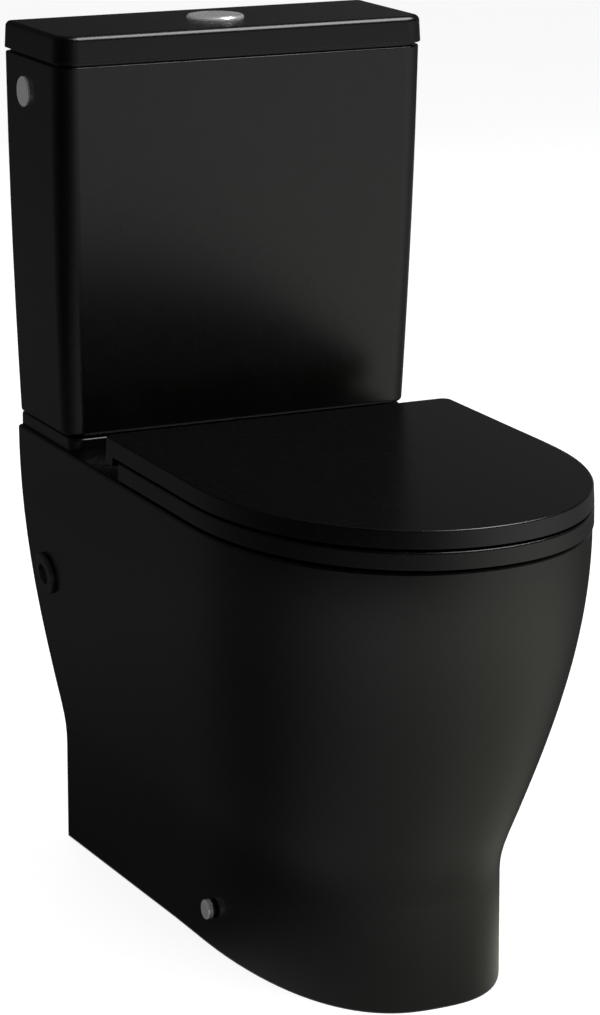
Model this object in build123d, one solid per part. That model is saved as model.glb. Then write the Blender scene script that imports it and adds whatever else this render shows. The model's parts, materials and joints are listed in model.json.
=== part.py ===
from build123d import *
import math
import os

# Overall sizes in millimetres, measured from the wall plane, the floor and the middle plane
WALL_Y = 331.0
RIM_TOP = 432.0
LID_TOP = 832.0

# Pan shroud: half widths at the wall and where the nose starts, and how far the nose reaches
FOOT_WALL_HALF = 134.3
FOOT_NOSE_HALF = 125.2
FOOT_REACH = 559.7
FOOT_NOSE_START = 264.0
FOOT_POWER = 2.6
RIM_HALF = 180.2
RIM_REACH = 656.5
RIM_NOSE_START = 423.0
RIM_POWER = 2.1
KNEE_START = 98.0
KNEE_END = 138.0
FLARE_START = 118.0
SHROUD_WALL = 12.0
DECK_THICK = 20.0
RIM_ROUND = 3.0
FLARE_STEPS = 16

# Plinth under the cistern
PLINTH_HALF = 176.0
PLINTH_REACH = 133.0
PLINTH_TOP = 445.0
PLINTH_CORNER = 14.0
PLINTH_EDGE = 2.5

# Bowl: height, distance of the centre from the wall, half width, half length
BOWL_LEVELS = (
    (437, 456, 133, 158),
    (415, 456, 136, 161),
    (380, 455, 137, 162),
    (330, 450, 126, 152),
    (280, 440, 103, 128),
    (235, 422, 72, 92),
    (205, 405, 47, 56),
    (180, 395, 38, 38),
)
BOWL_WALL = 11.0

# Trapway and outlet
TRAP_ROUTE = ((395, 200), (395, 128), (298, 128), (252, 254), (168, 254), (138, 180), (24, 180))
TRAP_BEND = 50.0
TRAP_BORE = 38.0
TRAP_WALL = 9.0
OUTLET_Z = 180.0
OUTLET_R = 51.0
OUTLET_END = 6.0
OUTLET_LENGTH = 46.0

# Water horn from the cistern to the bowl
HORN_D = 75.0
HORN_Z = 378.0
HORN_BORE = 28.0
HORN_WALL = 9.0
HORN_BEND = 40.0
HORN_CUP_BORE = 46.0
HORN_CUP_WALL = 10.0
HORN_CUP_FLOOR = 421.0

# Holes in the deck for the seat and for the bolts that hold the cistern
SEAT_HOLE_R = 8.0
COUPLING_X = 75.0
COUPLING_HOLE_R = 6.0
COUPLING_BOLT_R = 4.0

# Cistern tank: half width and reach at three heights
TANK_BOTTOM = 446.8
TANK_TOP = 803.0
TANK_LEVELS = ((446.8, 180.0, 134.0), (625.0, 187.0, 140.6), (803.0, 190.2, 147.2))
TANK_BACK = 3.0
TANK_WALL = 9.0
TANK_FLOOR = 12.0
TANK_CORNER = 20.0
TANK_BACK_CORNER = 7.0
TANK_LIP_INSET = 4.5
TANK_LIP_TOP = 806.0

# Cistern lid
COVER_BOTTOM = 806.2
COVER_HALF = 191.2
COVER_REACH = 149.8
COVER_BACK = 2.0
COVER_DRAFT = 1.3
COVER_EDGE = 5.5
COVER_SHELL = 9.0
COVER_RIB_DROP = 9.0
COVER_RIM = 22.0
COVER_RIB_GAP = 2.7
COVER_RIB_THICK = 5.5

# Flush button
BUTTON_D = 75.0
BUTTON_RING_R = 27.8
BUTTON_BODY_R = 23.0
BUTTON_R = 20.4
BUTTON_TOP = 835.4
BUTTON_SPLIT_D = 72.0
BUTTON_GAP = 0.4
BUTTON_THICK = 12.0
RING_DEPTH = 34.0
RING_FLANGE = 3.2
RING_FLOOR = 4.0
ROD_X = 12.0
ROD_D = 9.0
SPRING_R = 4.2
SPRING_WIRE_R = 0.5
SPRING_TURNS = 5

# Flush valve
VALVE_FLOOR = TANK_BOTTOM + TANK_FLOOR
VALVE_THREAD_R = 30.0
VALVE_BORE = 26.0
SEAT_RIM = 472.0
SEAL_THICK = 3.0
CAGE_TOP = 560.0
CAGE_R = 41.0
CAGE_POST_R = 36.0
BRIDGE_TOP = 748.0
LEVER_SLOT = 5.5
LEVER_PIVOT_X = 26.0
LEVER_Z = 742.0
LEVER_PIN_R = 2.0
LEVER_OUT = 26.0
TUBE_R = 17.0
TUBE_BORE = 14.5
STRAP_Z = 694.0

# Fill valve and inlets
INLET_Z = 770.0
INLET_D = 57.4
INLET_R = 8.3
INLET_SHANK_R = 8.8
INLET_HOLE_R = 9.1
INLET_BORE = 4.5
TANK_SIDE_AT_INLET = 189.85
TAIL_END = 201.0
INLET_NUT_THICK = 5.0
INLET_NUT_R = 13.5
PLUG_HEAD_R = 14.7
VALVE_X = 146.0
PIPE_R = 8.0
FLOAT_X = 118.0
FLOAT_PIVOT_X = 164.0
FLOAT_R = 18.0
FORK_BACK = 5.5
FLOAT_PIVOT_Z = 750.0
FLOAT_PIN_R = 1.5
FLOAT_BOTTOM = 672.0
FLOAT_TOP = 722.0
ARM_HALF = 22.0

# Seat ring and seat lid
SEAT_HALF = 180.0
SEAT_REACH = 662.5
SEAT_NOSE_START = 422.6
SEAT_POWER = 2.1
SEAT_DRAFT = 1.1
RING_BACK = 252.0
RING_BOTTOM = 434.9
RING_TOP = 450.9
RING_HOLE = (462.0, 106.0, 143.0)
LID_BOTTOM = 453.4
LID_UPPER = 469.6
LID_BACK = 220.0
SKIRT_FRONT = 243.0
SKIRT_BOTTOM = 445.0
LID_RECESS = 4.6
LID_BORDER = 13.0

# Seat hinge
HINGE_D = 232.0
HINGE_Z = 450.0
HINGE_X = 78.0
HINGE_PIN_R = 3.0
PIN_HALF = 36.0
POST_HALF = 11.5
KNUCKLE_R = 9.0
KNUCKLE_WIDE = 24.0
DAMPER_R = 6.0
POCKET_INNER = 38.0
POCKET_OUTER = 118.0
POST_FOOT_R = 16.0
POST_WASHER = 1.2
POST_FOOT = 1.6
SEAT_BOLT_R = 3.5
RING_BUFFER_PLACES = ((156, 380), (52, 637))
LID_BUFFER_PLACES = ((140, 340), (52, 630))

# Fixings low on the foot
SCREW_Z = 38.0
SCREW_D = 339.0
FOOT_SIDE_AT_SCREW = 124.5
SCREW_R = 3.2
CAP_R = 9.4
FLOOR_HOLE_X = 70.0
FLOOR_HOLE_R = 4.0
BRACKET_INNER = 87.0
BRACKET_OUTER = 107.0
BRACKET_HALF = 15.0
BRACKET_TOP = 54.0
BRACKET_FOOT = 7.0
SLEEVE_R = 6.0
CAP_THICK = 5.2

# Side ports high on the shroud
PORT_Z = 290.0
PORT_D = 42.0
PORT_HOLE_R = 17.0
PORT_FLANGE_R = 21.0
PORT_BORE_R = 10.5
PORT_FLANGE_THICK = 4.2
PORT_FLANGE_EDGE = 1.8
PORT_TILT = 9.6
PORT_X = 168.6

# Running clearances between round parts
FREE = 0.05
TURNING = 0.06


# Placing helpers: a distance is always measured forwards from the wall
def depth(distance):
    return WALL_Y - distance


def block(x0, x1, near, far, z0, z1):
    centre = Pos((x0 + x1) / 2, depth((near + far) / 2), (z0 + z1) / 2)
    return centre * Box(abs(x1 - x0), abs(far - near), abs(z1 - z0))


def upright(radius, x, distance, z0, z1):
    return Pos(x, depth(distance), (z0 + z1) / 2) * Cylinder(radius, abs(z1 - z0))


def crosswise(radius, x0, x1, distance, z):
    return Pos((x0 + x1) / 2, depth(distance), z) * Rot(0, 90, 0) * Cylinder(radius, abs(x1 - x0))


def lengthwise(radius, x, near, far, z):
    return Pos(x, depth((near + far) / 2), z) * Rot(90, 0, 0) * Cylinder(radius, abs(far - near))


def washer(outer, inner, x, distance, z0, z1):
    return upright(outer, x, distance, z0, z1) - upright(inner, x, distance, z0 - 1, z1 + 1)


def cross_washer(outer, inner, x0, x1, distance, z):
    low, high = min(x0, x1), max(x0, x1)
    return crosswise(outer, low, high, distance, z) - crosswise(inner, low - 1, high + 1, distance, z)


def hexagon(radius, x, distance, z0, z1):
    return Pos(x, depth(distance), z0) * extrude(RegularPolygon(radius, 6), amount=z1 - z0)


def both_sides(shape):
    return [shape, mirror(shape, about=Plane.YZ)]


# A plan outline with a straight back and sides and a rounded nose, as a level face
def nose_face(z, back_half, nose_half, back, nose_start, reach, power):
    points = []
    for share in (0.0, 0.25, 0.5, 0.75):
        x = -back_half + (back_half - nose_half) * share
        points.append((x, depth(back + (nose_start - back) * share)))
    sides = list(points)
    steps = 16
    for step in range(steps + 1):
        angle = math.pi * step / steps
        side = math.cos(angle)
        front = math.sin(angle)
        x = -nose_half * math.copysign(abs(side) ** (2 / power), side)
        forward = nose_start + (reach - nose_start) * max(front, 0.0) ** (2 / power)
        points.append((x, depth(forward)))
    points += [(-x, y) for x, y in reversed(sides)]
    lean = (back_half - nose_half) / (nose_start - back)
    curve = Spline(points, tangents=[(lean, -1), (lean, 1)])
    closing = Line(points[-1], points[0])
    return Pos(0, 0, z) * make_face(curve + closing)


def rounded_face(z, half, near, far, front_corner, back_corner):
    outline = Pos(0, depth((near + far) / 2)) * Rectangle(2 * half, far - near)
    corners = outline.vertices().sort_by(Axis.Y)
    outline = fillet(corners[0:2], front_corner)
    outline = fillet(outline.vertices().sort_by(Axis.Y)[-2:], back_corner)
    return Pos(0, 0, z) * outline


def ellipse_face(z, distance, half_width, half_length):
    return Pos(0, depth(distance), z) * Ellipse(half_width, half_length)


# Share of the flare from foot to rim that a height has reached
def flare(z):
    if z <= KNEE_START:
        return 0.0
    height = RIM_TOP - FLARE_START
    if z >= KNEE_END:
        return math.sin(math.pi / 2 * (z - FLARE_START) / height)
    share = math.sin(math.pi / 2 * (KNEE_END - FLARE_START) / height)
    return share * ((z - KNEE_START) / (KNEE_END - KNEE_START)) ** 2


def shroud_face(z, inset, back):
    share = flare(z)
    back_half = FOOT_WALL_HALF + (RIM_HALF - FOOT_WALL_HALF) * share - inset
    nose_half = FOOT_NOSE_HALF + (RIM_HALF - FOOT_NOSE_HALF) * share - inset
    nose_start = FOOT_NOSE_START + (RIM_NOSE_START - FOOT_NOSE_START) * share
    reach = FOOT_REACH + (RIM_REACH - FOOT_REACH) * share - inset
    power = FOOT_POWER + (RIM_POWER - FOOT_POWER) * share
    return nose_face(z, back_half, nose_half, back, nose_start, reach, power)


def flare_levels(top):
    return [KNEE_START + (top - KNEE_START) * step / FLARE_STEPS for step in range(FLARE_STEPS + 1)]


def shroud_outer():
    start = RIM_TOP - RIM_ROUND
    foot = extrude(shroud_face(0, 0.0, 0.0), amount=KNEE_START)
    body = foot + loft([shroud_face(z, 0.0, 0.0) for z in flare_levels(start)])
    faces = []
    for step in range(5):
        angle = math.pi / 2 * step / 4
        inset = RIM_ROUND * (1 - math.cos(angle))
        faces.append(shroud_face(start + RIM_ROUND * math.sin(angle), inset, 0.0))
    return body + loft(faces)


def shroud_cavity():
    foot = extrude(shroud_face(-6, SHROUD_WALL, -30.0), amount=KNEE_START + 6)
    top = RIM_TOP - DECK_THICK
    return foot + loft([shroud_face(z, SHROUD_WALL, -30.0) for z in flare_levels(top)])


def bowl_body(grow):
    return loft([ellipse_face(z, d, rx + grow, ry + grow) for z, d, rx, ry in BOWL_LEVELS])


def tube_along(route, bend, radius):
    path = FilletPolyline(*[(0, depth(d), z) for d, z in route], radius=bend)
    start = Plane(origin=path @ 0, z_dir=path % 0)
    return sweep(start * Circle(radius), path=path)


def horn_route():
    return ((HORN_D, HORN_CUP_FLOOR + 1), (HORN_D, HORN_Z), (292, HORN_Z))


def pan():
    body = shroud_outer() - shroud_cavity()
    top = block(-PLINTH_HALF, PLINTH_HALF, 0, PLINTH_REACH, RIM_TOP - 6, PLINTH_TOP)
    front_corners = top.edges().filter_by(Axis.Z).sort_by(Axis.Y)[0:2]
    top = fillet(front_corners, PLINTH_CORNER)
    top = fillet(top.edges().group_by(Axis.Z)[-1].sort_by(Axis.Y)[0:3], PLINTH_EDGE)
    body = body + top
    inner = PLINTH_HALF - SHROUD_WALL
    body = body - block(-inner, inner, -30, PLINTH_REACH - 12, RIM_TOP - DECK_THICK - 2, PLINTH_TOP - 12)
    body = body + (bowl_body(BOWL_WALL) & block(-200, 200, 150, 640, 100, RIM_TOP - 8))
    body = body + tube_along(TRAP_ROUTE, TRAP_BEND, TRAP_BORE + TRAP_WALL)
    body = body + lengthwise(OUTLET_R, 0, OUTLET_END, OUTLET_END + OUTLET_LENGTH, OUTLET_Z)
    body = body + tube_along(horn_route(), HORN_BEND, HORN_BORE + HORN_WALL)
    cup_r = HORN_CUP_BORE + HORN_CUP_WALL
    body = body + upright(cup_r, 0, HORN_D, HORN_CUP_FLOOR - 10, PLINTH_TOP - 3)
    body = body - bowl_body(0)
    body = body - tube_along(TRAP_ROUTE, TRAP_BEND, TRAP_BORE)
    body = body - lengthwise(TRAP_BORE, 0, OUTLET_END - 1, 40, OUTLET_Z)
    body = body - tube_along(horn_route(), HORN_BEND, HORN_BORE)
    body = body - lengthwise(HORN_BORE, 0, 280, 310, HORN_Z)
    body = body - upright(HORN_CUP_BORE, 0, HORN_D, HORN_CUP_FLOOR, PLINTH_TOP + 1)
    for side in (-1, 1):
        body = body - upright(SEAT_HOLE_R, side * HINGE_X, HINGE_D, RIM_TOP - 30, RIM_TOP + 5)
        body = body - upright(COUPLING_HOLE_R, side * COUPLING_X, HORN_D, PLINTH_TOP - 30, PLINTH_TOP + 5)
        body = body - crosswise(SLEEVE_R + 0.2, side * 100, side * 140, SCREW_D, SCREW_Z)
        body = body - port_axis(side) * Cylinder(PORT_HOLE_R, 60)
    return body


def port_axis(side):
    tilt = Rot(0, side * (90 + PORT_TILT), 0)
    return Pos(side * PORT_X, depth(PORT_D), PORT_Z) * tilt


# Cistern
def tank_face(z, half, reach, inset):
    front = max(TANK_CORNER - inset, 3.0)
    back = max(TANK_BACK_CORNER - inset, 2.0)
    return rounded_face(z, half - inset, TANK_BACK + inset, reach - inset, front, back)


def tank_body():
    body = loft([tank_face(z, half, reach, 0.0) for z, half, reach in TANK_LEVELS])
    body = fillet(body.edges().group_by(Axis.Z)[0], 4.0)
    return fillet(body.edges().group_by(Axis.Z)[-1], 1.6)


def tank_cavity():
    low, middle, high = TANK_LEVELS
    faces = [tank_face(TANK_BOTTOM + TANK_FLOOR, low[1] + 0.4, low[2] + 0.2, TANK_WALL)]
    faces.append(tank_face(middle[0], middle[1], middle[2], TANK_WALL))
    faces.append(tank_face(TANK_TOP, high[1], high[2], TANK_WALL))
    upper = extrude(tank_face(TANK_TOP, high[1], high[2], TANK_WALL), amount=8)
    return loft(faces) + upper


def cistern_tank():
    high = TANK_LEVELS[2]
    lip_face = tank_face(TANK_TOP - 3, high[1], high[2], TANK_LIP_INSET)
    body = tank_body() + extrude(lip_face, amount=TANK_LIP_TOP - TANK_TOP + 3)
    body = body - tank_cavity()
    body = body - upright(VALVE_THREAD_R + 1, 0, HORN_D, TANK_BOTTOM - 5, TANK_BOTTOM + 20)
    for side in (-1, 1):
        body = body - upright(COUPLING_HOLE_R, side * COUPLING_X, HORN_D, TANK_BOTTOM - 5, TANK_BOTTOM + 20)
        body = body - crosswise(INLET_HOLE_R, side * 150, side * 210, INLET_D, INLET_Z)
    return body


def cistern_lid():
    height = LID_TOP - COVER_BOTTOM
    low = rounded_face(COVER_BOTTOM, COVER_HALF, COVER_BACK, COVER_REACH, 20, 8)
    high = rounded_face(LID_TOP, COVER_HALF - COVER_DRAFT, COVER_BACK + COVER_DRAFT,
                        COVER_REACH - COVER_DRAFT, 20 - COVER_DRAFT, 8 - COVER_DRAFT)
    body = loft([low, high])
    body = fillet(body.edges().group_by(Axis.Z)[-1], COVER_EDGE)
    body = fillet(body.edges().group_by(Axis.Z)[0], 1.0)
    hollow = rounded_face(COVER_BOTTOM - 1, COVER_HALF - COVER_RIM, COVER_BACK + COVER_RIM,
                          COVER_REACH - COVER_RIM, 8, 8)
    body = body - extrude(hollow, amount=height - COVER_SHELL + 1) + cover_rib()
    return body - upright(BUTTON_BODY_R + 0.5, 0, BUTTON_D, COVER_BOTTOM, LID_TOP + 5)


# The rib under the lid that keeps it from sliding off the tank
def cover_rib():
    top, half, reach = TANK_LEVELS[2]
    inset = TANK_WALL + COVER_RIB_GAP
    low = COVER_BOTTOM - COVER_RIB_DROP
    outer = tank_face(low, half, reach, inset)
    inner = tank_face(low - 1, half, reach, inset + COVER_RIB_THICK)
    return extrude(outer, amount=COVER_RIB_DROP + 4) - extrude(inner, amount=COVER_RIB_DROP + 8)


# Coupling of cistern and pan
def coupling_gasket():
    return washer(45.5, 38.2, 0, HORN_D, HORN_CUP_FLOOR + 0.2, TANK_BOTTOM - 0.1)


def cistern_pads():
    pad = block(95, 150, 25, 115, PLINTH_TOP, TANK_BOTTOM)
    return both_sides(pad)


def coupling_bolts():
    bolt = upright(COUPLING_BOLT_R, COUPLING_X, HORN_D, 400, VALVE_FLOOR + 4)
    head = hexagon(9, COUPLING_X, HORN_D, VALVE_FLOOR + 4, VALVE_FLOOR + 10)
    return both_sides(bolt + head)


def coupling_washer(radius, z0, z1):
    return washer(radius, COUPLING_BOLT_R + FREE, COUPLING_X, HORN_D, z0, z1)


def bolt_seals():
    return both_sides(coupling_washer(14, VALVE_FLOOR, VALVE_FLOOR + 4))


def coupling_washers():
    return both_sides(coupling_washer(13, PLINTH_TOP - 14, PLINTH_TOP - 12))


def coupling_nuts():
    low = PLINTH_TOP - 14 - 8
    nut = hexagon(9.5, COUPLING_X, HORN_D, low, PLINTH_TOP - 14)
    wings = block(COUPLING_X - 17, COUPLING_X + 17, HORN_D - 2.5, HORN_D + 2.5, low - 8, low + 5)
    return both_sides(nut + wings - upright(COUPLING_BOLT_R + FREE, COUPLING_X, HORN_D, low - 10, PLINTH_TOP))


# Flush valve
def valve_base():
    body = upright(VALVE_THREAD_R, 0, HORN_D, 428, VALVE_FLOOR + 4)
    body = body + upright(CAGE_R + 1, 0, HORN_D, VALVE_FLOOR, VALVE_FLOOR + 4)
    body = body + upright(VALVE_THREAD_R + 2, 0, HORN_D, VALVE_FLOOR, SEAT_RIM)
    body = body - upright(VALVE_BORE, 0, HORN_D, 420, SEAT_RIM + 2)
    for quarter in range(4):
        angle = math.radians(45 + 90 * quarter)
        x = CAGE_POST_R * math.cos(angle)
        d = HORN_D + CAGE_POST_R * math.sin(angle)
        body = body + block(x - 3, x + 3, d - 3, d + 3, VALVE_FLOOR, CAGE_TOP + 2)
    return body + washer(CAGE_R, CAGE_R - 10, 0, HORN_D, CAGE_TOP, CAGE_TOP + 5)


def valve_backnut():
    nut = hexagon(37.5, 0, HORN_D, 432, 446)
    return nut - upright(VALVE_THREAD_R + FREE, 0, HORN_D, 430, 450)


def valve_seal():
    return washer(31, TUBE_BORE, 0, HORN_D, SEAT_RIM, SEAT_RIM + SEAL_THICK)


def lift_strap(side, d, hook_gap):
    outer = LEVER_PIVOT_X + LEVER_OUT
    hook_z = LEVER_Z + 3 + hook_gap
    arm = block(side * (TUBE_R - 2), side * (outer + 8), d - 2, d + 2, STRAP_Z, STRAP_Z + 6)
    strap = block(side * (outer + 5), side * (outer + 8), d - 2, d + 2, STRAP_Z, hook_z + 3)
    hook = block(side * (outer - 4), side * (outer + 8), d - 2, d + 2, hook_z, hook_z + 3)
    return arm + strap + hook


def overflow_tube():
    low = SEAT_RIM + SEAL_THICK
    body = upright(TUBE_R, 0, HORN_D, low, 722)
    body = body + upright(29, 0, HORN_D, low, low + 3)
    cup = upright(27, 0, HORN_D, 490, 540) - upright(24.5, 0, HORN_D, 489, 537)
    body = body + cup
    body = body + lift_strap(-1, BUTTON_D + ROD_D, 1.5)
    body = body + lift_strap(1, BUTTON_D - ROD_D, 13.5)
    return body - upright(TUBE_BORE, 0, HORN_D, SEAT_RIM, 730)


# The full-flush lever is on the left and nearer the front, the half-flush lever on the right
def lever_places():
    return ((-1, BUTTON_D + ROD_D), (1, BUTTON_D - ROD_D))


def lever_cheeks(side, d):
    parts = []
    for offset in (-1, 1):
        near = d + offset * LEVER_SLOT
        x0, x1 = side * (LEVER_PIVOT_X - 5), side * (LEVER_PIVOT_X + 5)
        parts.append(block(x0, x1, near - 1.5, near + 1.5, CAGE_TOP + 7, BRIDGE_TOP))
    return parts


def valve_bridge():
    body = washer(CAGE_R, TUBE_R + 1.2, 0, HORN_D, CAGE_TOP + 5, CAGE_TOP + 9)
    body = body + washer(CAGE_R - 5, TUBE_R + 1.2, 0, HORN_D, 640, 644)
    for side, d in lever_places():
        for cheek in lever_cheeks(side, d):
            body = body + cheek
        body = body - lengthwise(LEVER_PIN_R, side * LEVER_PIVOT_X, d - 8, d + 8, LEVER_Z)
    return body


def lever_pins():
    reach = LEVER_SLOT + 2
    pins = []
    for side, d in lever_places():
        pins.append(lengthwise(LEVER_PIN_R, side * LEVER_PIVOT_X, d - reach, d + reach, LEVER_Z))
    return pins


def flush_lever(side, d):
    inner = LEVER_PIVOT_X - ROD_X + 3
    hub = lengthwise(4.5, side * LEVER_PIVOT_X, d - 3, d + 3, LEVER_Z)
    x_in = side * (LEVER_PIVOT_X - inner)
    x_out = side * (LEVER_PIVOT_X + LEVER_OUT)
    arm = block(x_in, x_out, d - 2.5, d + 2.5, LEVER_Z - 2, LEVER_Z + 2)
    return hub + arm - lengthwise(LEVER_PIN_R + FREE, side * LEVER_PIVOT_X, d - 5, d + 5, LEVER_Z)


# Flush button unit on the cistern lid
def button_ring():
    flange = upright(BUTTON_RING_R, 0, BUTTON_D, LID_TOP, LID_TOP + RING_FLANGE)
    flange = chamfer(flange.edges().group_by(Axis.Z)[-1], RING_FLANGE / 2)
    body = flange + upright(BUTTON_BODY_R, 0, BUTTON_D, LID_TOP - RING_DEPTH, LID_TOP + 1)
    body = body - upright(BUTTON_R + 0.3, 0, BUTTON_D, spring_floor(), LID_TOP + 5)
    for x, d in rod_places():
        body = body - upright(2.8, x, d, LID_TOP - RING_DEPTH - 2, LID_TOP)
    return body


def spring_floor():
    return LID_TOP - RING_DEPTH + RING_FLOOR


def rod_places():
    return ((-ROD_X, BUTTON_D + ROD_D), (ROD_X, BUTTON_D - ROD_D))


def button_nut():
    top = LID_TOP - COVER_SHELL
    nut = hexagon(32, 0, BUTTON_D, top - 7, top - 0.1)
    return nut - upright(BUTTON_BODY_R + FREE, 0, BUTTON_D, top - 9, top + 2)


def flush_button(front):
    disc = upright(BUTTON_R, 0, BUTTON_D, BUTTON_TOP - BUTTON_THICK, BUTTON_TOP)
    disc = fillet(disc.edges().group_by(Axis.Z)[-1], 1.5)
    side = 1 if front else -1
    near, far = BUTTON_SPLIT_D + side * BUTTON_GAP, BUTTON_D + side * 2 * BUTTON_R
    return disc & block(-30, 30, near, far, BUTTON_TOP - 20, BUTTON_TOP + 5)


def push_rod(x, d):
    rod = upright(2.5, x, d, LEVER_Z + 8, BUTTON_TOP - BUTTON_THICK)
    tip = upright(1.5, x, d, LEVER_Z + 3.6, LEVER_Z + 9)
    return rod + tip


def button_spring(x, d):
    end_gap = SPRING_WIRE_R + 0.1
    height = BUTTON_TOP - BUTTON_THICK - spring_floor() - 2 * end_gap
    path = Helix(pitch=height / SPRING_TURNS, height=height, radius=SPRING_R)
    start = Plane(origin=path @ 0, z_dir=path % 0)
    coil = sweep(start * Circle(SPRING_WIRE_R), path=path, is_frenet=True)
    return Pos(x, depth(d), spring_floor() + end_gap) * coil


# Fill valve on the right side of the tank
def tank_inner_side():
    return TANK_SIDE_AT_INLET - TANK_WALL


def inlet_nut_face():
    return TANK_SIDE_AT_INLET + 0.3


def pipe_top():
    return INLET_Z - 26


def fill_valve_body():
    inside = tank_inner_side()
    body = crosswise(INLET_SHANK_R, inside - 6, inlet_nut_face() + INLET_NUT_THICK, INLET_D, INLET_Z)
    body = body + crosswise(INLET_R, inside, TAIL_END, INLET_D, INLET_Z)
    body = body + crosswise(14, inside - 6, inside - 2, INLET_D, INLET_Z)
    body = body + crosswise(10, FLOAT_X + 8, inside - 5, INLET_D, INLET_Z)
    body = body + upright(13, VALVE_X, INLET_D, pipe_top(), INLET_Z + 8)
    body = body - crosswise(INLET_BORE, VALVE_X, TAIL_END + 4, INLET_D, INLET_Z)
    body = body - upright(INLET_BORE, VALVE_X, INLET_D, pipe_top() - 4, INLET_Z)
    for offset in (-1, 1):
        near = INLET_D + offset * 6
        body = body + block(FLOAT_PIVOT_X - 4, FLOAT_PIVOT_X + 4, near - 1.5, near + 1.5,
                            FLOAT_PIVOT_Z - 5, INLET_Z - 4)
    return body + lengthwise(FLOAT_PIN_R, FLOAT_PIVOT_X, INLET_D - 7.5, INLET_D + 7.5, FLOAT_PIVOT_Z)


def float_arm():
    low, high = FLOAT_PIVOT_Z - 2, FLOAT_PIVOT_Z + 2
    x0, x1 = FLOAT_X - 6, FLOAT_PIVOT_X + FORK_BACK + 4
    hub = lengthwise(4, FLOAT_PIVOT_X, INLET_D - 4, INLET_D + 4, FLOAT_PIVOT_Z)
    body = hub + block(FLOAT_PIVOT_X, x1, INLET_D - 3, INLET_D + 3, low, high)
    for offset in (-1, 1):
        d = INLET_D + offset * ARM_HALF
        body = body + block(x0, x1, d - 2, d + 2, low, high)
    for x in (x0, x1 - 4):
        body = body + block(x, x + 4, INLET_D - ARM_HALF, INLET_D + ARM_HALF, low, high)
    return body - lengthwise(FLOAT_PIN_R + FREE, FLOAT_PIVOT_X, INLET_D - 10, INLET_D + 10, FLOAT_PIVOT_Z)


def fill_float():
    cup = upright(FLOAT_R, FLOAT_X, INLET_D, FLOAT_BOTTOM, FLOAT_TOP)
    cup = cup - upright(FLOAT_R - 2.5, FLOAT_X, INLET_D, FLOAT_BOTTOM - 2, FLOAT_TOP - 3)
    return cup + upright(3, FLOAT_X - 4, INLET_D, FLOAT_TOP - 3, FLOAT_PIVOT_Z - 4.5)


def fill_downpipe():
    return washer(PIPE_R, PIPE_R - 1.5, VALVE_X, INLET_D, 480, pipe_top())


def inlet_washer(side):
    inside = tank_inner_side()
    hole = INLET_SHANK_R + FREE
    return cross_washer(14, hole, side * (inside - 2), side * (inside - 0.1), INLET_D, INLET_Z)


def cross_hexagon(radius, x0, x1, distance, z):
    low, high = min(x0, x1), max(x0, x1)
    prism = extrude(RegularPolygon(radius, 6), amount=high - low)
    return Pos(low, depth(distance), z) * Rot(0, 90, 0) * prism


def inlet_nut():
    face = inlet_nut_face()
    nut = cross_hexagon(INLET_NUT_R, face, face + INLET_NUT_THICK, INLET_D, INLET_Z)
    return nut - crosswise(INLET_SHANK_R + FREE, face - 2, face + 10, INLET_D, INLET_Z)


def inlet_plug():
    outside = TANK_SIDE_AT_INLET + 0.25
    head = crosswise(PLUG_HEAD_R, -outside, -outside - 2.8, INLET_D, INLET_Z)
    head = chamfer(head.edges().sort_by(Axis.X)[0], 1.0)
    inner_end = -tank_inner_side() + 12
    return head + crosswise(INLET_SHANK_R, -outside - 0.5, inner_end, INLET_D, INLET_Z)


def plug_nut():
    inside = tank_inner_side()
    nut = cross_hexagon(14, -inside + 2, -inside + 9, INLET_D, INLET_Z)
    return nut - crosswise(INLET_SHANK_R + FREE, -inside - 2, -inside + 14, INLET_D, INLET_Z)


# Seat ring, seat lid and their hinge
def seat_face(z, back, inset):
    half = SEAT_HALF - inset
    return nose_face(z, half, half, back, SEAT_NOSE_START, SEAT_REACH - inset, SEAT_POWER)


def round_back_corners(shape, radius):
    rising = [edge for edge in shape.edges() if edge.bounding_box().size.Z > 10]
    return fillet(ShapeList(rising).sort_by(Axis.Y)[-2:], radius)


def hinge_rod(radius, x0, x1):
    return crosswise(radius, x0, x1, HINGE_D, HINGE_Z)


def ring_knuckle_span():
    outer = HINGE_X - POST_HALF - 1.0
    return outer - KNUCKLE_WIDE, outer


def lid_knuckle_span():
    inner = HINGE_X + POST_HALF + 1.0
    return inner, inner + KNUCKLE_WIDE


def seat_ring():
    body = extrude(seat_face(RING_BOTTOM, RING_BACK, 0.3), amount=RING_TOP - RING_BOTTOM)
    body = round_back_corners(body, 6)
    body = fillet(body.edges().group_by(Axis.Z)[-1], 2.0)
    distance, half_width, half_length = RING_HOLE
    hole = ellipse_face(RING_BOTTOM - 2, distance, half_width, half_length)
    body = body - extrude(hole, amount=RING_TOP - RING_BOTTOM + 4)
    top_edges = body.edges().group_by(Axis.Z)[-1]
    hole_edge = [edge for edge in top_edges if edge.bounding_box().size.X < 2 * half_width + 20]
    body = fillet(hole_edge, 5.0)
    inner, outer = ring_knuckle_span()
    for side in (-1, 1):
        arm = block(side * inner, side * outer, HINGE_D, RING_BACK + 6, HINGE_Z - KNUCKLE_R, RING_TOP - 0.4)
        body = body + arm + hinge_rod(KNUCKLE_R, side * inner, side * outer)
        body = body - hinge_rod(DAMPER_R + 0.02, side * (inner + 2), side * (outer + 3))
        body = body - hinge_rod(HINGE_PIN_R + TURNING, side * (inner - 3), side * (outer + 3))
    return body


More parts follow.
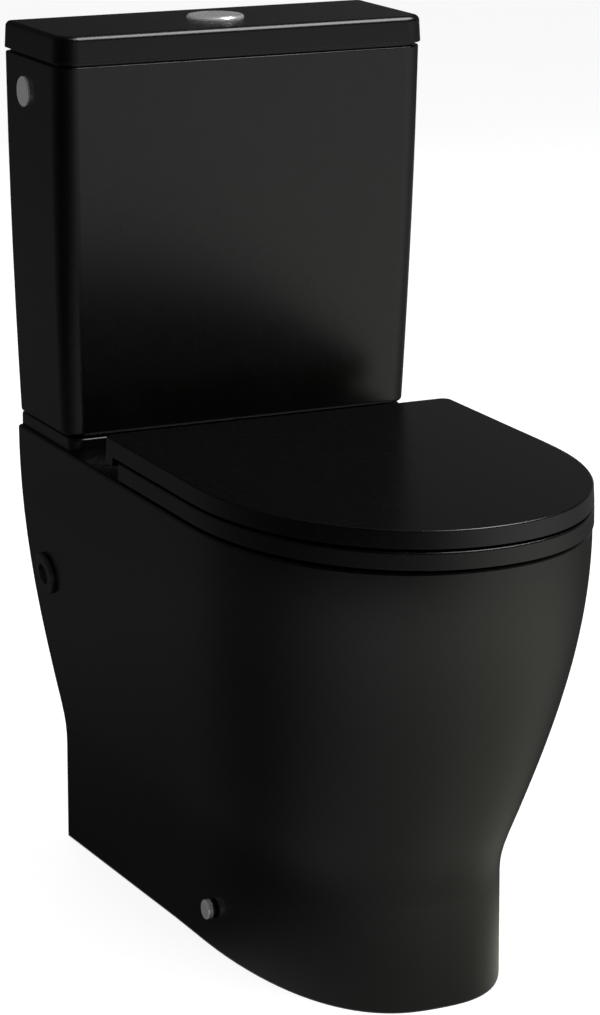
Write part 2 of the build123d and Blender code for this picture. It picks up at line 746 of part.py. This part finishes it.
def seat_lid():
    low = seat_face(SKIRT_BOTTOM, LID_BACK, 0.0)
    body = loft([low, seat_face(LID_UPPER, LID_BACK, SEAT_DRAFT)])
    body = round_back_corners(body, 9)
    body = fillet(body.edges().group_by(Axis.Z)[-1], 1.5)
    body = body - block(-200, 200, SKIRT_FRONT, 700, SKIRT_BOTTOM - 2, LID_BOTTOM)
    recess = seat_face(LID_BOTTOM - 1, SKIRT_FRONT + 4, LID_BORDER)
    body = body - extrude(recess, amount=LID_RECESS + 1)
    inner, outer = lid_knuckle_span()
    for side in (-1, 1):
        pocket = block(side * POCKET_INNER, side * POCKET_OUTER, LID_BACK - 5, SKIRT_FRONT + 4.5,
                       SKIRT_BOTTOM - 2, HINGE_Z + 13)
        body = body - pocket
        rib = block(side * inner, side * outer, HINGE_D - 6, HINGE_D + 6, HINGE_Z, HINGE_Z + 15)
        body = body + rib + hinge_rod(KNUCKLE_R, side * inner, side * outer)
        body = body - hinge_rod(DAMPER_R + 0.02, side * (inner - 3), side * (outer - 2))
        body = body - hinge_rod(HINGE_PIN_R + TURNING, side * (inner - 3), side * (outer + 3))
    return body


def hinge_posts():
    x0, x1 = HINGE_X - POST_HALF, HINGE_X + POST_HALF
    foot = RIM_TOP + POST_WASHER
    post = hinge_rod(KNUCKLE_R - 0.5, x0, x1)
    post = post + block(x0, x1, HINGE_D - 7, HINGE_D + 7, foot, HINGE_Z)
    post = post + upright(POST_FOOT_R, HINGE_X, HINGE_D, foot, foot + POST_FOOT)
    post = post - hinge_rod(HINGE_PIN_R + 0.02, x0 - 2, x1 + 2)
    return both_sides(post - upright(SEAT_BOLT_R + FREE, HINGE_X, HINGE_D, RIM_TOP, RIM_TOP + 11))


def hinge_pins():
    return both_sides(hinge_rod(HINGE_PIN_R, HINGE_X - PIN_HALF, HINGE_X + PIN_HALF))


def damper(x0, x1):
    return cross_washer(DAMPER_R, HINGE_PIN_R + TURNING, x0, x1, HINGE_D, HINGE_Z)


def ring_dampers():
    inner, outer = ring_knuckle_span()
    return both_sides(damper(inner + 2.2, outer))


def lid_dampers():
    inner, outer = lid_knuckle_span()
    return both_sides(damper(inner, outer - 2.2))


def hinge_washers():
    return both_sides(washer(POST_FOOT_R + 0.5, 8, HINGE_X, HINGE_D, RIM_TOP, RIM_TOP + POST_WASHER))


def seat_bolts():
    return both_sides(upright(SEAT_BOLT_R, HINGE_X, HINGE_D, 380, RIM_TOP + 10.5))


def seat_bolt_nuts():
    top = RIM_TOP - DECK_THICK
    nut = upright(12, HINGE_X, HINGE_D, top - 9, top - 0.2)
    wings = block(HINGE_X - 19, HINGE_X + 19, HINGE_D - 2.5, HINGE_D + 2.5, top - 17, top - 4)
    return both_sides(nut + wings - upright(SEAT_BOLT_R + FREE, HINGE_X, HINGE_D, top - 20, top + 2))


def buffers(places, radius, z0, z1):
    parts = []
    for x, d in places:
        parts += both_sides(upright(radius, x, d, z0, z1))
    return parts


def ring_buffers():
    return buffers(RING_BUFFER_PLACES, 7, RIM_TOP + 0.1, RING_BOTTOM)


def lid_buffers():
    return buffers(LID_BUFFER_PLACES, 6, RING_TOP + 0.1, LID_BOTTOM + LID_RECESS)


# Trim in the side ports and the fixings to the floor
def side_port_grommets():
    body = Pos(0, 0, -5.5) * Cylinder(PORT_HOLE_R - 0.1, 17)
    flange = Pos(0, 0, 2.7) * Cylinder(PORT_FLANGE_R, PORT_FLANGE_THICK)
    flange = fillet(flange.edges().group_by(Axis.Z)[-1], PORT_FLANGE_EDGE)
    collar = body + flange - Cylinder(PORT_BORE_R, 60)
    return both_sides(port_axis(1) * collar)


def floor_brackets():
    near, far = SCREW_D - BRACKET_HALF, SCREW_D + BRACKET_HALF
    body = block(BRACKET_INNER, BRACKET_OUTER, near, far, 0, BRACKET_TOP)
    body = body + block(FLOOR_HOLE_X - 14, BRACKET_OUTER, near, far, 0, BRACKET_FOOT)
    body = body - crosswise(SCREW_R + FREE, BRACKET_INNER - 2, BRACKET_OUTER + 2, SCREW_D, SCREW_Z)
    return both_sides(body - upright(FLOOR_HOLE_R, FLOOR_HOLE_X, SCREW_D, -2, 10))


def side_screws():
    face = FOOT_SIDE_AT_SCREW + 2.2
    screw = crosswise(SCREW_R, 92, face, SCREW_D, SCREW_Z)
    head = crosswise(6, face, face + 3, SCREW_D, SCREW_Z)
    return both_sides(screw + head)


def screw_sleeves():
    face = FOOT_SIDE_AT_SCREW + 0.2
    sleeve = crosswise(SLEEVE_R, 110, face + 1, SCREW_D, SCREW_Z)
    sleeve = sleeve + crosswise(CAP_R - 0.8, face, face + 2, SCREW_D, SCREW_Z)
    return both_sides(sleeve - crosswise(SCREW_R + FREE, 100, face + 5, SCREW_D, SCREW_Z))


def screw_caps():
    face = FOOT_SIDE_AT_SCREW + 2.3
    cap = crosswise(CAP_R, face, face + CAP_THICK, SCREW_D, SCREW_Z)
    cap = fillet(cap.edges().sort_by(Axis.X)[-1], 1.6)
    return both_sides(cap - crosswise(6.3, face - 1, face + 3.4, SCREW_D, SCREW_Z))


def all_nodes():
    full_rod, half_rod = rod_places()
    (full_side, full_d), (half_side, half_d) = lever_places()
    return {
        "pan": [pan()],
        "cistern_tank": [cistern_tank()],
        "cistern_lid": [cistern_lid()],
        "coupling_gasket": [coupling_gasket()],
        "cistern_pads": cistern_pads(),
        "coupling_bolts": coupling_bolts(),
        "bolt_seals": bolt_seals(),
        "coupling_washers": coupling_washers(),
        "coupling_nuts": coupling_nuts(),
        "valve_base": [valve_base()],
        "valve_backnut": [valve_backnut()],
        "valve_seal": [valve_seal()],
        "overflow_tube": [overflow_tube()],
        "valve_bridge": [valve_bridge()],
        "lever_pins": lever_pins(),
        "full_flush_lever": [flush_lever(full_side, full_d)],
        "half_flush_lever": [flush_lever(half_side, half_d)],
        "button_ring": [button_ring()],
        "button_nut": [button_nut()],
        "full_flush_button": [flush_button(True)],
        "half_flush_button": [flush_button(False)],
        "full_push_rod": [push_rod(*full_rod)],
        "half_push_rod": [push_rod(*half_rod)],
        "full_button_spring": [button_spring(*full_rod)],
        "half_button_spring": [button_spring(*half_rod)],
        "fill_valve_body": [fill_valve_body()],
        "float_arm": [float_arm()],
        "fill_float": [fill_float()],
        "fill_downpipe": [fill_downpipe()],
        "inlet_washer": [inlet_washer(1)],
        "inlet_nut": [inlet_nut()],
        "inlet_plug": [inlet_plug()],
        "plug_washer": [inlet_washer(-1)],
        "plug_nut": [plug_nut()],
        "seat_ring": [seat_ring()],
        "seat_lid": [seat_lid()],
        "hinge_posts": hinge_posts(),
        "hinge_pins": hinge_pins(),
        "ring_dampers": ring_dampers(),
        "lid_dampers": lid_dampers(),
        "hinge_washers": hinge_washers(),
        "seat_bolts": seat_bolts(),
        "seat_bolt_nuts": seat_bolt_nuts(),
        "ring_buffers": ring_buffers(),
        "lid_buffers": lid_buffers(),
        "side_port_grommets": side_port_grommets(),
        "floor_brackets": floor_brackets(),
        "side_screws": side_screws(),
        "screw_sleeves": screw_sleeves(),
        "screw_caps": screw_caps(),
    }


def solids_of(shapes):
    solids = []
    for shape in shapes:
        solids += shape.solids()
    return solids


os.makedirs("parts", exist_ok=True)
for name, shapes in all_nodes().items():
    solids = solids_of(shapes)
    whole = solids[0] if len(solids) == 1 else Compound(solids)
    export_step(whole, f"parts/{name}.step")
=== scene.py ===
import json
import math

import bpy
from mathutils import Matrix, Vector


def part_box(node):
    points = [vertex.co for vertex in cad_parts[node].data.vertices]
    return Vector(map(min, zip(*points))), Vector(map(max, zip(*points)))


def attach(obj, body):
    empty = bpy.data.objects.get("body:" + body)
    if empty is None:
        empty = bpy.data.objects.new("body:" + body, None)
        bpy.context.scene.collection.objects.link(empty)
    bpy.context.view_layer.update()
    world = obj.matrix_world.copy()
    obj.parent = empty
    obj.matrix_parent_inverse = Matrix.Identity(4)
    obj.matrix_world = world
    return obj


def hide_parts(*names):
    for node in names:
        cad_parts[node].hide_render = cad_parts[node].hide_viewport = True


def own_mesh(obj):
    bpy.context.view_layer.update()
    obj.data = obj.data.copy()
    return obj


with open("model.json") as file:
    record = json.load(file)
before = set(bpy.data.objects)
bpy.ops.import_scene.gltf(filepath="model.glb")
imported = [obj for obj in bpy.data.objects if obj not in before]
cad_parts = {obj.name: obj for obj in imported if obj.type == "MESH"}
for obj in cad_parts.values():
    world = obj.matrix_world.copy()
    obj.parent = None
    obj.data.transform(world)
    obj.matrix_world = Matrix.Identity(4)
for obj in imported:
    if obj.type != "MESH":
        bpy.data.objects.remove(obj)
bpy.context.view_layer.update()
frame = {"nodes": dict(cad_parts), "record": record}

scene = bpy.context.scene

# Camera solved from the photograph's edges, in metres and degrees
CAMERA_PLACE = (-1.4200, -2.9877, 1.2856)
CAMERA_AZIMUTH = 25.361
CAMERA_PITCH = 11.582
FOCAL_PIXELS = 3697.7
PHOTO_WIDTH = 600
PHOTO_HEIGHT = 1015
AXIS_PIXEL_X = 325.5
AXIS_PIXEL_Y = 294.1
SENSOR = 36.0


def make_camera():
    """The camera at the photograph's place, angle and framing."""
    data = bpy.data.cameras.new("camera")
    data.sensor_width = SENSOR
    data.lens = SENSOR * FOCAL_PIXELS / PHOTO_HEIGHT
    data.shift_x = (PHOTO_WIDTH / 2 - AXIS_PIXEL_X) / PHOTO_HEIGHT
    data.shift_y = (AXIS_PIXEL_Y - PHOTO_HEIGHT / 2) / PHOTO_HEIGHT
    data.clip_start = 0.1
    data.clip_end = 100.0
    camera = bpy.data.objects.new("camera", data)
    scene.collection.objects.link(camera)
    azimuth = math.radians(CAMERA_AZIMUTH)
    pitch = math.radians(CAMERA_PITCH)
    forward = Vector((math.sin(azimuth) * math.cos(pitch), math.cos(azimuth) * math.cos(pitch), -math.sin(pitch)))
    camera.location = CAMERA_PLACE
    camera.rotation_mode = "QUATERNION"
    camera.rotation_quaternion = forward.to_track_quat("-Z", "Y")
    scene.camera = camera


class Nodes:
    """Short names for making and linking the nodes of one material."""

    def __init__(self, tree):
        self.tree = tree
        tree.nodes.clear()

    def add(self, kind, **values):
        node = self.tree.nodes.new(kind)
        for name, value in values.items():
            setattr(node, name, value)
        return node

    def link(self, source, target):
        self.tree.links.new(source, target)

    def noise(self, coordinates, scale, detail=3.0, roughness=0.5):
        node = self.add("ShaderNodeTexNoise")
        node.inputs["Scale"].default_value = scale
        node.inputs["Detail"].default_value = detail
        node.inputs["Roughness"].default_value = roughness
        self.link(coordinates, node.inputs["Vector"])
        return node.outputs["Fac"]

    def spread(self, value, low, high):
        """Maps a noise's useful middle range to low..high."""
        node = self.add("ShaderNodeMapRange")
        node.inputs["From Min"].default_value = 0.3
        node.inputs["From Max"].default_value = 0.7
        node.inputs["To Min"].default_value = low
        node.inputs["To Max"].default_value = high
        self.link(value, node.inputs["Value"])
        return node.outputs["Result"]

    def blend(self, factor, first, second):
        node = self.add("ShaderNodeMix", data_type="RGBA")
        self.link(factor, node.inputs["Factor"])
        node.inputs["A"].default_value = (*first, 1.0)
        node.inputs["B"].default_value = (*second, 1.0)
        return node.outputs["Result"]

    def bump(self, height, distance, normal=None):
        node = self.add("ShaderNodeBump")
        node.inputs["Strength"].default_value = 1.0
        node.inputs["Distance"].default_value = distance
        self.link(height, node.inputs["Height"])
        if normal is not None:
            self.link(normal, node.inputs["Normal"])
        return node.outputs["Normal"]


def finish_material(name, dark, light, rough, bumps, metallic=0.0, ior=1.5, patch=14.0, coat=0.0, coat_rough=0.2):
    """A material with cloudy colour between dark and light, roughness between two values, and layers of bump."""
    material = bpy.data.materials.new(name)
    material.use_nodes = True
    nodes = Nodes(material.node_tree)
    place = nodes.add("ShaderNodeTexCoord").outputs["Object"]
    shader = nodes.add("ShaderNodeBsdfPrincipled")
    shader.inputs["Metallic"].default_value = metallic
    shader.inputs["IOR"].default_value = ior
    shader.inputs["Coat Weight"].default_value = coat
    shader.inputs["Coat Roughness"].default_value = coat_rough
    clouds = nodes.noise(place, patch)
    nodes.link(nodes.blend(nodes.spread(clouds, 0.0, 1.0), dark, light), shader.inputs["Base Color"])
    grain = nodes.noise(place, patch * 9.0)
    nodes.link(nodes.spread(grain, *rough), shader.inputs["Roughness"])
    normal = None
    for scale, distance in bumps:
        normal = nodes.bump(nodes.noise(place, scale), distance, normal)
    if normal is not None:
        nodes.link(normal, shader.inputs["Normal"])
    output = nodes.add("ShaderNodeOutputMaterial")
    nodes.link(shader.outputs["BSDF"], output.inputs["Surface"])
    return material


FINISHES = {
    "ceramic": finish_material("matt black glaze", (0.0004, 0.0004, 0.0003), (0.0007, 0.0007, 0.0005), (0.24, 0.28), [(900.0, 0.000004)]),
    "duroplast": finish_material("satin duroplast", (0.0003, 0.0003, 0.0003), (0.0006, 0.0006, 0.0006), (0.24, 0.28), [(1400.0, 0.000002)]),
    "chrome": finish_material("polished chrome", (0.78, 0.78, 0.78), (0.82, 0.82, 0.82), (0.12, 0.18), [], metallic=0.75),
    "satin_chrome": finish_material("satin chrome", (0.72, 0.72, 0.71), (0.76, 0.76, 0.75), (0.2, 0.26), [], metallic=0.75),
    "steel": finish_material("zinc plated steel", (0.5, 0.5, 0.5), (0.6, 0.6, 0.6), (0.25, 0.4), [(600.0, 0.00003)], metallic=1.0),
    "rubber": finish_material("black rubber", (0.007, 0.007, 0.007), (0.01, 0.01, 0.01), (0.34, 0.42), [(1800.0, 0.00001)]),
    "white_plastic": finish_material("white plastic", (0.7, 0.7, 0.68), (0.76, 0.76, 0.74), (0.35, 0.45), [(900.0, 0.00002)]),
    "grey_plastic": finish_material("grey plastic", (0.2, 0.21, 0.22), (0.24, 0.25, 0.26), (0.4, 0.5), [(900.0, 0.00003)]),
    "black_plastic": finish_material("black plastic", (0.015, 0.015, 0.015), (0.022, 0.022, 0.022), (0.4, 0.5), [(900.0, 0.00003)]),
}


def finish_cad_nodes():
    """Gives every piece of the frame its finish."""
    for entry in frame["record"]["subparts"]:
        piece = frame["nodes"][entry["node"]]
        piece.data.materials.clear()
        piece.data.materials.append(FINISHES[entry["material_slot"]])


def stage_mesh(name, corners, material):
    """A flat stage piece from its four corners."""
    mesh = bpy.data.meshes.new(name)
    mesh.from_pydata(corners, [], [(0, 1, 2, 3)])
    mesh.materials.append(material)
    piece = bpy.data.objects.new(name, mesh)
    scene.collection.objects.link(piece)
    return piece


class Steps:
    """Arithmetic on node values, one method per operation."""

    def __init__(self, nodes):
        self.nodes = nodes

    def math(self, operation, first, second=None):
        node = self.nodes.add("ShaderNodeMath", operation=operation)
        for socket, value in zip(node.inputs, (first, second)):
            if isinstance(value, (int, float)):
                socket.default_value = value
            elif value is not None:
                self.nodes.link(value, socket)
        return node.outputs[0]

    def facing(self, direction, degrees, power):
        """1 towards an azimuth from the front (-Y) to the right (+X), falling smoothly to 0 behind it."""
        angle = math.radians(degrees)
        node = self.nodes.add("ShaderNodeVectorMath", operation="DOT_PRODUCT")
        self.nodes.link(direction, node.inputs[0])
        node.inputs[1].default_value = (math.sin(angle), -math.cos(angle), 0.0)
        half = self.math("MULTIPLY_ADD", node.outputs["Value"], 0.5)
        half.node.inputs[2].default_value = 0.5
        return self.math("POWER", half, power)

    def fade(self, value, start, end, first, last):
        """A smooth change from first to last while the value goes from start to end."""
        node = self.nodes.add("ShaderNodeMapRange", interpolation_type="SMOOTHSTEP")
        self.nodes.link(value, node.inputs["Value"])
        for name, number in zip(("From Min", "From Max", "To Min", "To Max"), (start, end, first, last)):
            node.inputs[name].default_value = number
        return node.outputs["Result"]


# Return springs of the two button halves, in metres
SPRING_TURNS = 5
SPRING_WIRE_R = 0.0005
TURN_STEPS = 28
WIRE_SIDES = 10


def button_spring(node):
    """A coil on the cistern lid, made in place of its button half's spring node, which is hidden."""
    low, high = (Vector(corner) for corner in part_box(node))
    centre = (low + high) / 2
    coil = (high.x - low.x) / 2 - SPRING_WIRE_R
    rise = high.z - low.z - 2 * SPRING_WIRE_R
    count = SPRING_TURNS * TURN_STEPS
    points = []
    faces = []
    for step in range(count + 1):
        angle = 2 * math.pi * step / TURN_STEPS
        out = Vector((math.cos(angle), math.sin(angle), 0.0))
        along = Vector((-out.y, out.x, rise / (2 * math.pi * coil * SPRING_TURNS))).normalized()
        across = along.cross(out)
        middle = Vector((centre.x, centre.y, low.z + SPRING_WIRE_R + rise * step / count)) + coil * out
        for side in range(WIRE_SIDES):
            turn = 2 * math.pi * side / WIRE_SIDES
            points.append(middle + SPRING_WIRE_R * (math.cos(turn) * out + math.sin(turn) * across))
    for step in range(count):
        for side in range(WIRE_SIDES):
            first, second = step * WIRE_SIDES + side, step * WIRE_SIDES + (side + 1) % WIRE_SIDES
            faces.append((first, second, second + WIRE_SIDES, first + WIRE_SIDES))
    faces.append(tuple(reversed(range(WIRE_SIDES))))
    faces.append(tuple(range(count * WIRE_SIDES, (count + 1) * WIRE_SIDES)))
    mesh = bpy.data.meshes.new(node + "_coil")
    mesh.from_pydata(points, [], faces)
    mesh.polygons.foreach_set("use_smooth", [True] * len(faces))
    mesh.materials.append(FINISHES["steel"])
    piece = bpy.data.objects.new(node + "_coil", mesh)
    scene.collection.objects.link(piece)
    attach(piece, "cover")
    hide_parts(node)
    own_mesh(piece)


def seen_directly(steps):
    """1 for rays from the camera and for the mirrored and refracted ones, otherwise 0."""
    path = steps.nodes.add("ShaderNodeLightPath")
    seen = steps.math("MAXIMUM", path.outputs["Is Camera Ray"], path.outputs["Is Glossy Ray"])
    return steps.math("MAXIMUM", seen, path.outputs["Is Transmission Ray"])


def floor_material():
    """A white floor: most of its white is seen by the camera only, and the lit rest shows the shadow."""
    material = bpy.data.materials.new("floor")
    material.use_nodes = True
    nodes = Nodes(material.node_tree)
    steps = Steps(nodes)
    lit = nodes.add("ShaderNodeBsdfDiffuse")
    lit.inputs["Color"].default_value = (*FLOOR_COLOUR, 1.0)
    white = nodes.add("ShaderNodeEmission")
    nodes.link(steps.math("MULTIPLY", seen_directly(steps), FLOOR_WHITE), white.inputs["Strength"])
    total = nodes.add("ShaderNodeAddShader")
    nodes.link(lit.outputs[0], total.inputs[0])
    nodes.link(white.outputs[0], total.inputs[1])
    output = nodes.add("ShaderNodeOutputMaterial")
    nodes.link(total.outputs[0], output.inputs["Surface"])
    return material


def make_floor():
    half = 30.0
    corners = [(-half, -half, 0.0), (half, -half, 0.0), (half, half, 0.0), (-half, half, 0.0)]
    stage_mesh("floor", corners, floor_material())


def make_world():
    """Plain grey light all around, and a white backdrop where it is seen."""
    world = bpy.data.worlds.new("studio")
    scene.world = world
    world.use_nodes = True
    nodes = Nodes(world.node_tree)
    steps = Steps(nodes)
    background = nodes.add("ShaderNodeBackground")
    level = steps.fade(seen_directly(steps), 0.0, 1.0, WORLD_LIGHT, 1.0)
    nodes.link(level, background.inputs["Strength"])
    output = nodes.add("ShaderNodeOutputWorld")
    nodes.link(background.outputs[0], output.inputs["Surface"])


def studio_material():
    """The room that the reflections show: bright towards the front right, dark to the left and behind."""
    material = bpy.data.materials.new("studio shell")
    material.use_nodes = True
    nodes = Nodes(material.node_tree)
    steps = Steps(nodes)
    place = nodes.add("ShaderNodeTexCoord").outputs["Object"]
    flat = nodes.add("ShaderNodeVectorMath", operation="MULTIPLY")
    nodes.link(place, flat.inputs[0])
    flat.inputs[1].default_value = (1.0, 1.0, 0.0)
    direction = nodes.add("ShaderNodeVectorMath", operation="NORMALIZE")
    nodes.link(flat.outputs["Vector"], direction.inputs[0])
    radius = nodes.add("ShaderNodeVectorMath", operation="LENGTH")
    nodes.link(flat.outputs["Vector"], radius.inputs[0])
    split = nodes.add("ShaderNodeSeparateXYZ")
    nodes.link(place, split.inputs[0])
    measures = {"height": split.outputs["Z"], "radius": radius.outputs["Value"]}
    level = steps.math("ADD", DARK_LEVEL, 0.0)
    for azimuth, power, strength, measure, centre, start, end, share in GLOWS:
        glow = steps.facing(direction.outputs["Vector"], azimuth, power)
        away = steps.math("ABSOLUTE", steps.math("SUBTRACT", measures[measure], centre))
        fade = steps.fade(away, start, end, 1.0, share)
        glow = steps.math("MULTIPLY", steps.math("MULTIPLY", glow, strength), fade)
        level = steps.math("ADD", level, glow)
    level = steps.math("MULTIPLY", level, steps.fade(measures["radius"], *NEAR))
    shader = nodes.add("ShaderNodeEmission")
    warm = steps.facing(direction.outputs["Vector"], *WARM_SIDE)
    warm = steps.math("MULTIPLY", warm, steps.fade(measures["radius"], *WARM_REACH, 1.0, 0.0))
    nodes.link(nodes.blend(warm, (1.0, 1.0, 1.0), WARM), shader.inputs["Color"])
    nodes.link(level, shader.inputs["Strength"])
    output = nodes.add("ShaderNodeOutputMaterial")
    nodes.link(shader.outputs[0], output.inputs["Surface"])
    return material


# Light that the world gives, the floor's own colour and the white that the camera adds to it
WORLD_LIGHT = 0.35
FLOOR_COLOUR = (0.3, 0.3, 0.3)
FLOOR_WHITE = 0.84
# Warm tint of the reflected floor: its azimuth and narrowness, and the radii between which it ends
WARM = (1.0, 0.99, 0.86)
WARM_SIDE = (45.0, 4.0)
WARM_REACH = (0.9, 2.4)
# Reflected room: size in metres, its darkest level, its glows and how the floor dims close to the object
ROOM_RADIUS = 5.0
ROOM_HEIGHT = 4.5
DARK_LEVEL = 0.012
# Each glow: azimuth in degrees from the front to the right, narrowness, level, then the height or radius where it
# is fullest, the distances from there between which it fades, and the share that is left
GLOWS = (
    (40.0, 7.0, 0.76, "height", 0.0, 0.0, 1.4, 0.1),
    (128.0, 16.0, 0.19, "height", 1.0, 0.2, 1.1, 0.1),
    (-28.0, 5.0, 0.44, "radius", 0.0, 0.8, 2.2, 0.0),
    (220.0, 9.0, 0.048, "height", 0.0, 0.0, 3.0, 0.5),
    (135.0, 8.0, 0.2, "radius", 3.0, 0.5, 1.6, 0.0),
)
NEAR = (0.25, 1.0, 0.5, 1.0)


def make_studio():
    """A closed round room that only reflections see."""
    rings = ((0.02, 0.001), (ROOM_RADIUS, 0.001), (ROOM_RADIUS, ROOM_HEIGHT), (0.02, ROOM_HEIGHT))
    count = 96
    points = []
    faces = []
    for radius, z in rings:
        for step in range(count):
            angle = 2 * math.pi * step / count
            points.append((radius * math.cos(angle), radius * math.sin(angle), z))
    for ring in range(len(rings) - 1):
        for step in range(count):
            after = (step + 1) % count
            low, high = ring * count, (ring + 1) * count
            faces.append((low + step, low + after, high + after, high + step))
    mesh = bpy.data.meshes.new("studio_shell")
    mesh.from_pydata(points, [], faces)
    mesh.materials.append(studio_material())
    shell = bpy.data.objects.new("studio_shell", mesh)
    scene.collection.objects.link(shell)
    shell.visible_camera = False
    shell.visible_diffuse = False
    shell.visible_transmission = False
    shell.visible_shadow = False


def area_light(name, place, aim, size, power, glossy):
    data = bpy.data.lights.new(name, "AREA")
    data.shape = "RECTANGLE"
    data.size, data.size_y = size
    data.energy = power
    light = bpy.data.objects.new(name, data)
    scene.collection.objects.link(light)
    light.location = place
    light.visible_glossy = glossy
    light.rotation_mode = "QUATERNION"
    light.rotation_quaternion = (Vector(aim) - Vector(place)).to_track_quat("-Z", "Y")
    return light


LAMPS = {
    "lamp_top": ((1.25, -0.9, 3.1), (0.0, 0.0, 0.4), (2.4, 1.6), 110.0, True),
    "lamp_front": ((1.5, -3.4, 1.6), (0.0, 0.0, 0.4), (2.6, 2.2), 90.0, False),
    "lamp_left": ((-3.2, -1.2, 1.8), (0.0, 0.0, 0.4), (2.0, 2.0), 50.0, False),
    "lamp_back": ((0.5, 3.4, 2.2), (0.0, 0.0, 0.4), (2.4, 2.0), 50.0, False),
}


def make_lights():
    make_world()
    make_studio()
    for name, values in LAMPS.items():
        area_light(name, *values)


make_camera()
finish_cad_nodes()
button_spring("full_button_spring")
button_spring("half_button_spring")
make_floor()
make_lights()
scene.view_settings.view_transform = "Standard"
